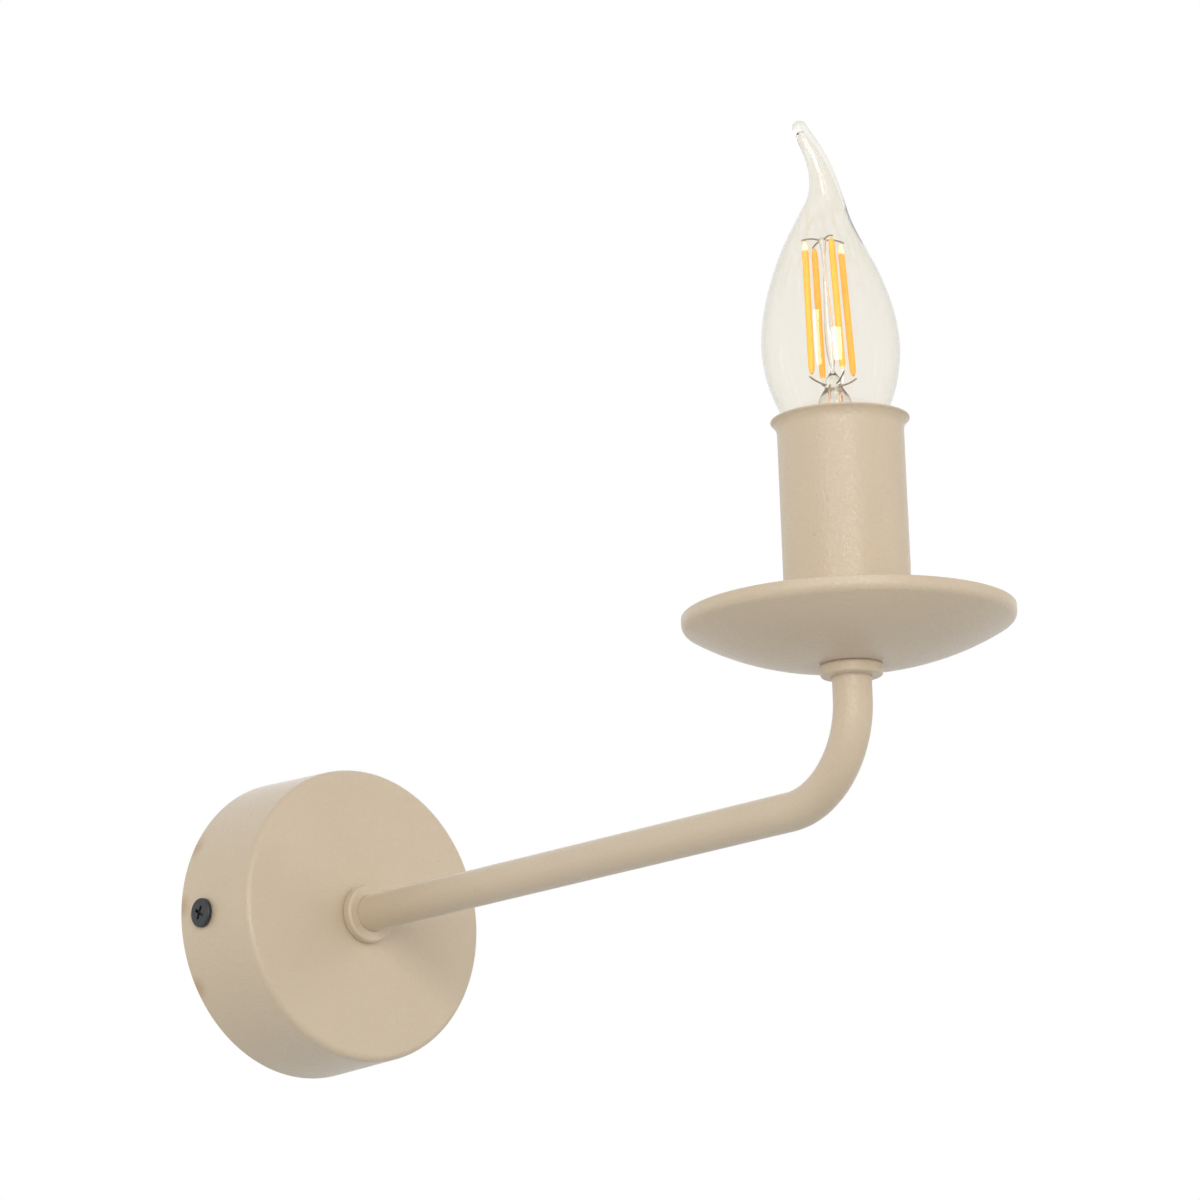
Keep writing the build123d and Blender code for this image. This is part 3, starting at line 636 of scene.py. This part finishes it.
# %% Smooth outlines
def smooth_line(knots, at):
    """Cubic curve through knots of place and value that starts level and ends free, read at some places.

    The slopes at the knots are those that leave no jump in how the curve bends. Between two knots the curve
    mixes their values and slopes by cubic shares.
    """
    place, value = np.array(knots, float).T
    gap = np.diff(place)
    rise = np.diff(value) / gap
    system = np.diag(np.r_[1, 2 / gap[:-1] + 2 / gap[1:], 2 / gap[-1]])
    system += np.diag(np.r_[0, 1 / gap[1:]], 1) + np.diag(1 / gap, -1)
    wanted = np.r_[0, 3 * (rise[:-1] / gap[:-1] + rise[1:] / gap[1:]), 3 * rise[-1] / gap[-1]]
    slope = np.linalg.solve(system, wanted)
    at = np.clip(at, place[0], place[-1])
    span = np.clip(np.searchsorted(place, at) - 1, 0, len(gap) - 1)
    t = (at - place[span]) / gap[span]
    ends = (1 + 2 * t) * (1 - t) ** 2 * value[span] + t**2 * (3 - 2 * t) * value[span + 1]
    return ends + gap[span] * t * (1 - t) * ((1 - t) * slope[span] - t * slope[span + 1])


def rings(heights, radii, columns):
    """Circles about the bulb's axis at heights and radii, as a grid of points in millimetres."""
    angle = np.linspace(0, 2 * np.pi, columns, endpoint=False)
    across = radii[:, None] * np.cos(angle)
    deep = radii[:, None] * np.sin(angle)
    return np.stack([across, deep, np.broadcast_to(heights[:, None], across.shape)], -1)


print("halfway up a smooth line through 0, 1 and 3:", smooth_line([(0, 0), (1, 1), (2, 3)], 0.5))

# %% [markdown]
# The bulb's glass has a thin amber film, denser and streaked in the throat. The glass could take its
# colour from its thickness, but a film is as thin everywhere, so the tint is given to the surface, and
# the outer and the inner skin share it. Glass seen edge-on is seen through more of its film, so its tint
# grows there, and a painted shade turns its outline grey. Light from the lamps goes through as through a
# plain tinted pane, because bent light is slow to trace.

# %% Amber glass
glass_index = 1.5
clear_tint = (0.97, 0.968, 0.962)
amber_tint = (0.893, 0.857, 0.768)
# Grey of a painted shade along the glass's outline, where it is seen edge-on.
outline_shade_grey = (0.30, 0.29, 0.27)
amber_pane = (0.93, 0.90, 0.83)
film_mirror = (0.8, 0.8, 0.8)
film_body = 0.56
film_throat = 0.16
film_outer = 0.9
film_inner = 0.7
film_edge = 0.7
outline_share = 0.9
streak_size = 0.0016
streak_drawn = (1, 1, 0.05)
streak_body = 0.3
streak_throat = 1.6
streak_roughness = 0.02
film_edge_power = 2
outline_power = 5
# Heights in metres in the lamp's frame where the denser film starts and where it is complete.
throat = (0.122, 0.146)


def glazed(glass, sockets, pane):
    """Ends a glass in the main shader, or in a plain tinted pane for rays on their way to a lamp."""
    shader = glass.node("BsdfPrincipled", {}, {**sockets, "Transmission Weight": 1.0, "IOR": glass_index})
    clear = glass.node("BsdfTransparent", {}, {"Color": pane})
    lamp_ray = glass.node("LightPath", out="Is Shadow Ray")
    both = glass.node("MixShader", {}, {0: lamp_ray, 1: shader, 2: clear})
    glass.node("OutputMaterial", {}, {"Surface": both})
    return glass.material


def amber_glass():
    """Clear glass with a pale film, denser and streaked in the throat; painted shade greys its outline."""
    glass = new_finish("pale amber glass")
    streak = glass.noise(streak_size, squeeze=streak_drawn)
    in_throat = glass.along("Z").step(*throat)
    edge = glass.edge()
    side = film_outer + (film_inner - film_outer) * glass.mark("inside")
    film = film_body + film_throat * in_throat + (streak_body + streak_throat * in_throat) * (streak - 0.5)
    colour = glass.mix(side * film + film_edge * edge**film_edge_power, clear_tint, amber_tint)
    return glazed(glass, {
        # The outline's grey is painted shade.
        "Base Color": glass.mix(outline_share * edge**outline_power, colour, outline_shade_grey),
        "Roughness": streak_roughness * streak,
        "Specular Tint": film_mirror,
    }, amber_pane)


amber = amber_glass()
print(amber.name, "has", len(amber.node_tree.nodes), "nodes")

# %% [markdown]
# The tip of the bulb was drawn out and bent while the glass was soft. A straight bulb could be bent by a
# modifier, but the bend has to lie where the solid's does, so the centre line is worked out: upright,
# swayed back a little along a wide arc, bent forwards along a tighter one, then straight to the bead. One
# function carries upright points on to that line.

# %% Centre line of the bulb
sway_start = 79.8
sway_radius = 112.0
sway_angle = np.radians(8.4)
bend_start = sway_start + sway_radius * sway_angle
bend_radius = 30.4
bend_angle = np.radians(24.6)
bend_end = bend_start + bend_radius * (sway_angle + bend_angle)
tip_run = 5.7
bead_start = bend_end + tip_run


def bend_over(grid):
    """Upright points carried on to the bent centre line, with height as length along arcs and a straight.

    The line's place is the sum of the two arcs and the straight, as far as a point has gone along each. The
    point then lies across the line, which is tilted there by the arcs' angles.
    """
    across, deep, length = np.moveaxis(grid, -1, 0)
    back = np.clip((length - sway_start) / sway_radius, 0, sway_angle)
    forward = np.clip((length - bend_start) / bend_radius, 0, sway_angle + bend_angle)
    run = np.maximum(length - bend_end, 0)
    turned = forward - sway_angle
    tilt = forward - back
    x = sway_radius * (np.cos(back) - 1) + bend_radius * (np.cos(sway_angle) - np.cos(turned))
    z = np.minimum(length, sway_start) + sway_radius * np.sin(back)
    z = z + bend_radius * (np.sin(turned) + np.sin(sway_angle))
    x = x + run * np.sin(bend_angle) + across * np.cos(tilt)
    z = z + run * np.cos(bend_angle) - across * np.sin(tilt)
    return np.stack([x, deep, z], -1)


print("the bead starts at", bend_over(np.array((0, 0, bead_start))), "mm")

# %% [markdown]
# The envelope is blown glass. A sphere could be pulled into shape by hand, but the outline is known at a
# few heights, so the glass is one outline carried along the centre line. The walk goes down the inside
# first and up the outside after, so the wall has a real thickness. In the tip the wall grows and the
# hollow moves towards the inside of the bend, so the clear glass is thickest on the outside of the bend.
# Each point keeps a mark that says whether it lies on the inside.

# %% Envelope
bead_radius = 1.9
bead_solid = 0.8
glass_foot = 23.2
glass_outline = [(26.0, 7.7), (46.2, 14.7), (60.2, 17.5), (72.6, 15.7), (85.0, 11.1), (93.6, 7.0),
                 (100.0, 4.55), (106.0, 3.25), (bend_end, 2.4), (bead_start, bead_radius)]
glass_wall = 0.5
tip_wall = 0.8
tip_shift = 0.4
thick_start = 86.0
thick_end = 116.0
hollow_dome = 2.0
hollow_end = bead_start - bead_solid
hollow_round = hollow_end - hollow_dome
inside_rows = 140
outside_rows = 150
dome_rows = 12
glass_columns = 96


def envelope_outline():
    """Lengths, radii, shifts and inside marks, from the hollow's end down the inside and up the outside.

    The inside is the outline less the wall, closed at its end by a quarter of an ellipse. The outside is the
    outline, closed by the bead's half ball.
    """
    closing = hollow_end - hollow_dome * np.linspace(0, 1, dome_rows) ** 2
    inside = np.r_[closing, np.linspace(hollow_round, glass_foot, inside_rows)[1:]]
    thick = np.clip((inside - thick_start) / (thick_end - thick_start), 0, 1)
    wall = glass_wall + (tip_wall - glass_wall) * thick
    domed = np.clip((inside - hollow_round) / hollow_dome, 0, 1)
    inner = (smooth_line(glass_outline, inside) - wall) * np.sqrt(1 - domed**2)
    outside = np.linspace(glass_foot, bead_start, outside_rows)
    bead = np.linspace(0, np.pi / 2, dome_rows)[1:]
    lengths = np.r_[inside, outside, bead_start + bead_radius * np.sin(bead)]
    radii = np.r_[inner, smooth_line(glass_outline, outside), bead_radius * np.cos(bead)]
    marked = np.arange(len(lengths)) < len(inside)
    shift = np.r_[tip_shift * thick, np.zeros(len(lengths) - len(inside))]
    return lengths, radii, shift, marked


lengths, radii, shift, marked = envelope_outline()
glass_grid = rings(lengths, radii, glass_columns)
glass_grid[..., 0] += shift[:, None]
piece("amber_envelope", stand(bend_over(glass_grid)), "bulb", amber,
      ["bulb_glass"], marks={"inside": np.repeat(marked, glass_columns)})

# %% [markdown]
# The stem inside the bulb is plain glass that was melted and drawn, so it has faint streaks. It could
# share the amber glass, but it has no film. Its colour darkens where it is seen edge-on, a painted shade
# for the dark outline, which is most of what is seen of so small a piece.

# %% Stem glass
clear_light = (0.97, 0.955, 0.92)
clear_dark = (0.92, 0.89, 0.82)
# Brown-grey of a painted shade along the stem's outline.
stem_edge_shade = (0.36, 0.30, 0.18)
clear_pane = (0.95, 0.95, 0.94)
clear_edge_share = 0.8
clear_edge_power = 2
stem_streak = 0.0008
stem_drawn = (1, 1, 0.1)
stem_roughness = 0.02
stem_swing = 0.04
stem_depth = 0.00006


def clear_glass():
    """Plain glass with faint drawn streaks, and a painted shade that darkens its edges."""
    glass = new_finish("clear stem glass")
    streak = glass.noise(stem_streak, squeeze=stem_drawn)
    colour = glass.mix(streak, clear_light, clear_dark)
    return glazed(glass, {
        "Base Color": glass.mix(clear_edge_share * glass.edge() ** clear_edge_power, colour, stem_edge_shade),
        "Roughness": stem_roughness + stem_swing * streak,
        "Normal": glass.bump(streak, stem_depth),
    }, clear_pane)


clear = clear_glass()
print(clear.name, "has", len(clear.node_tree.nodes), "nodes")

# %% [markdown]
# The stem is a glass tube that flares into the neck, swells, and is pinched round the lead wires, with a
# rod on top that carries the filaments. It could be a stack of cones, but melted glass has no edges, so
# it is one smooth outline turned about the axis, from the hollow of the flare to the bead on the rod.

# %% Stem
rod_start = 56.0
rod_radius = 0.7
stem_outline = [(24.4, 6.8), (28.0, 4.6), (33.0, 3.4), (38.0, 3.2), (43.0, 3.9), (46.0, 4.2), (48.4, 3.1),
                (50.0, 2.2), (52.0, 1.9), (53.4, 0.9), (rod_start, rod_radius), (86.0, rod_radius),
                (88.2, 0.95)]
stem_foot = stem_outline[0][0]
rod_end, rod_bead = stem_outline[-1]
stem_wall = 0.8
flare_top = 38.0
flare_dome = 2.0
flare_rows = 30
stem_rows = 70
rod_rows = 30
rod_dome_rows = 8
stem_columns = 40


def stem_lines():
    """Heights and radii from the top of the flare's hollow, down its inside and up the outside to the bead.

    The inside is the outline less the wall, closed at its top by a quarter of an ellipse. The bead is half a
    ball.
    """
    down = np.linspace(flare_top, stem_foot, flare_rows)
    domed = np.clip((down - flare_top) / flare_dome + 1, 0, 1)
    hollow = (smooth_line(stem_outline, down) - stem_wall) * np.sqrt(1 - domed**2)
    up = np.r_[np.linspace(stem_foot, rod_start, stem_rows), np.linspace(rod_start, rod_end, rod_rows)[1:]]
    bead = np.linspace(0, np.pi / 2, rod_dome_rows)[1:]
    heights = np.r_[down, up, rod_end + rod_bead * np.sin(bead)]
    return heights, np.r_[hollow, smooth_line(stem_outline, up), rod_bead * np.cos(bead)]


piece("stem_and_rod", stand(rings(*stem_lines(), stem_columns)), "bulb", clear, ["bulb_stem"])

# %% [markdown]
# A filament is a strip of tiny lamps in a yellow-orange coat that leaves one end pale and bare: the foot
# on every other filament, and the top on the rest. Two materials could be made, but the points of each
# filament carry a mark that says which way up it is, so one coat does for all. It is given a faint glow,
# because the real coat looks brighter than paint of its colour.

# %% Phosphor coat
coat_light = linear(255, 186, 50)
coat_dark = linear(250, 168, 38)
coat_bare = linear(250, 240, 214)
coat_grain = 0.0004
coat_roughness = 0.45
coat_depth = 0.00005
coat_glow = 0.2
# Heights in metres in the lamp's frame where the colour starts to change and where it has changed.
bare_foot = (0.1082, 0.1090)
bare_top = (0.1395, 0.1405)


def phosphor_coat():
    """Coat with a fine grain, pale at the foot of a flipped filament and at the top of the others."""
    coat = new_finish("phosphor coat")
    grains = coat.noise(coat_grain)
    up = coat.along("Z")
    flipped = coat.mark("flipped")
    bare = flipped * (1 - up.step(*bare_foot)) + (1 - flipped) * up.step(*bare_top)
    colour = coat.mix(bare, coat.mix(grains, coat_light, coat_dark), coat_bare)
    return coat.shade({
        "Base Color": colour,
        "Roughness": coat_roughness + grain_swing * grains,
        "Normal": coat.bump(grains, coat_depth),
        "Emission Color": colour,
        "Emission Strength": coat_glow,
    })


phosphor = phosphor_coat()
print(phosphor.name, "has", len(phosphor.node_tree.nodes), "nodes")

# %% [markdown]
# Four filaments stand round the rod and lean in a little towards its top. Cylinders would do, but the
# coat is dipped and its ends are rounded, so each filament is a bar whose radius closes at both ends.

# %% Filaments
filament_count = 4
first_turn = 23.2
filament_turns = np.radians(first_turn + 360 / filament_count * np.arange(filament_count))
filament_foot = (5.8, 53.0)
filament_head = (5.0, 87.6)
filament_radius = 0.85
filament_blunt = 18
filament_rows = 41
filament_columns = 20


def beside_rod(turns, radius, height):
    """Points at a radius and height in each filament's direction."""
    return np.stack([radius * np.cos(turns), radius * np.sin(turns), np.full_like(turns, height)], -1)


def filament_bars():
    """Circles along the straight lines from foot to head, closest together at the ends.

    Their radius is a root of one less a high power of the distance from the middle, so that it is even along
    the bar and closes at both ends as a flattened dome.
    """
    share = 0.5 - 0.5 * np.cos(np.linspace(0, np.pi, filament_rows))
    radius = filament_radius * (1 - np.abs(2 * share - 1) ** filament_blunt) ** 0.5
    foot = beside_rod(filament_turns, *filament_foot)[:, None, None]
    head = beside_rod(filament_turns, *filament_head)[:, None, None]
    line = foot + (head - foot) * share[:, None, None]
    return line + rings(0 * share, radius, filament_columns)[None]


flipped = np.repeat(np.arange(filament_count) % 2, filament_rows * filament_columns)
piece("coated_filaments", stand(filament_bars()), "bulb", phosphor,
      ["bulb_filaments"], marks={"flipped": flipped})

# %% [markdown]
# The filaments are fed by thin nickel wires, whose lower ends are sealed in the glass of the stem and
# look copper red there. Two pieces with a metal each could be made, but the change is at one height, so
# one metal changes its colour there.

# %% Lead metal
lead_light = linear(188, 174, 150)
lead_dark = linear(142, 128, 104)
lead_sealed = linear(226, 186, 158)
lead_grain = 0.0005
lead_metallic = 0.9
lead_roughness = 0.3
# Heights in metres in the lamp's frame up to which the wire is copper red, and from which it is nickel.
seal_top = (0.1035, 0.1045)


def lead_metal():
    """Nickel wire that turns copper red where it is sealed in the stem."""
    wire = new_finish("lead wire")
    grains = wire.noise(lead_grain)
    sealed = 1 - wire.along("Z").step(*seal_top)
    colour = wire.mix(grains, lead_light, lead_dark)
    return wire.shade({
        "Base Color": wire.mix(sealed, colour, lead_sealed),
        "Metallic": lead_metallic,
        "Roughness": lead_roughness + grain_swing * grains,
        "Normal": wire.bump(grains, line_depth),
    })


lead_nickel = lead_metal()
print(lead_nickel.name, "has", len(lead_nickel.node_tree.nodes), "nodes")

# %% [markdown]
# The wires leave the pinch of the stem, bend outwards under the filaments' feet and cross from the rod to
# their heads. A curve object with a round bevel would do, but a wire is only a circle carried along a
# curve. The curves are quadratic, each from three points, and lie in upright planes through the axis, so
# one side direction serves the whole length of a wire.

# %% Lead wires
lead_radius = 0.22
lead_blunt = 40
lead_rows = 17
lead_columns = 10
feed_turn = 0.4
feed_turns = filament_turns[0] + feed_turn + np.array([0, np.pi])


def wires(turns, start, middle, end):
    """Round wires in each direction, along the curve from start to end that a middle point pulls aside.

    The three points are given as radius and height, and the curve mixes them by quadratic shares. A wire's
    radius is a root of one less a high power of the distance from its middle, so its ends are closed.
    """
    t = np.linspace(0, 1, lead_rows)[:, None]
    start, middle, end = (np.array(point) for point in (start, middle, end))
    curve = (1 - t) ** 2 * start + 2 * t * (1 - t) * middle + t**2 * end
    along = 2 * (1 - t) * (middle - start) + 2 * t * (end - middle)
    along /= np.linalg.norm(along, axis=1, keepdims=True)
    angle = np.linspace(0, 2 * np.pi, lead_columns, endpoint=False)
    thick = lead_radius * np.sqrt(1 - np.abs(2 * t - 1) ** lead_blunt)
    out = curve[:, :1] - along[:, 1:] * thick * np.cos(angle)
    high = curve[:, 1:] + along[:, :1] * thick * np.cos(angle)
    side = thick * np.sin(angle)
    x = np.cos(turns)[:, None, None] * out - np.sin(turns)[:, None, None] * side
    y = np.sin(turns)[:, None, None] * out + np.cos(turns)[:, None, None] * side
    return np.stack([x, y, np.broadcast_to(high, x.shape)], -1)


foot_wires = wires(filament_turns, start=(1.6, 50.4), middle=(4.0, 50.6), end=(6.8, 52.6))
head_wires = wires(filament_turns, start=(0.75, 88.2), middle=(3.0, 89.0), end=(6.2, 87.8))
feed_wires = wires(feed_turns, start=(1.2, 40.0), middle=(1.5, 45.0), end=(1.2, 50.8))
lead_grids = np.concatenate([foot_wires, head_wires, feed_wires])
piece("lead_wires", stand(lead_grids), "bulb", lead_nickel, ["bulb_leads"])

# %% [markdown]
# The screw cap is thin plated sheet with the thread rolled into it, so the thread shows as a rounded wave
# on the outside and again on the inside. A wave could be drawn as a coil and joined to a tube, but here
# it is part of the radius itself: a cosine of height less the share of a turn, which climbs one pitch
# each time round.

# %% Screw cap
cap_outline = [(5.2, 5.6), (6.4, 6.5), (7.6, 6.7), (19.6, 6.7), (21.4, 7.3), (23.0, 8.15), (24.0, 8.4),
               (26.0, 8.4)]
cap_sheet = 0.35
cap_rows = 150
cap_columns = 72
thread_pitch = 2.82
thread_wave = 0.25
thread_start = 7.0
thread_end = 20.0
thread_fade = 2.0


def screw_cap():
    """Closed outline up the outside and down the inside, with a cosine wave that climbs a pitch a turn."""
    up = np.linspace(cap_outline[0][0], cap_outline[-1][0], cap_rows)
    heights = np.r_[up, up[::-1]]
    radii = np.r_[smooth_line(cap_outline, up), smooth_line(cap_outline, up[::-1]) - cap_sheet]
    grid = rings(heights, radii, cap_columns)
    angle = np.linspace(0, 2 * np.pi, cap_columns, endpoint=False)
    rising = np.clip((heights - thread_start) / thread_fade, 0, 1)
    falling = np.clip((thread_end - heights) / thread_fade, 0, 1)
    climb = 2 * np.pi * heights[:, None] / thread_pitch - angle
    wave = thread_wave * (rising * falling)[:, None] * np.cos(climb)
    grid[..., 0] += wave * np.cos(angle)
    grid[..., 1] += wave * np.sin(angle)
    return grid


nickel = metal("nickel plating", (214, 210, 202), (180, 176, 168),
               roughness=0.25, grain=0.0004, drawn=(1, 1, 8))
piece("rolled_cap", stand(screw_cap()), "bulb", nickel, ["bulb_cap"], closed=True)
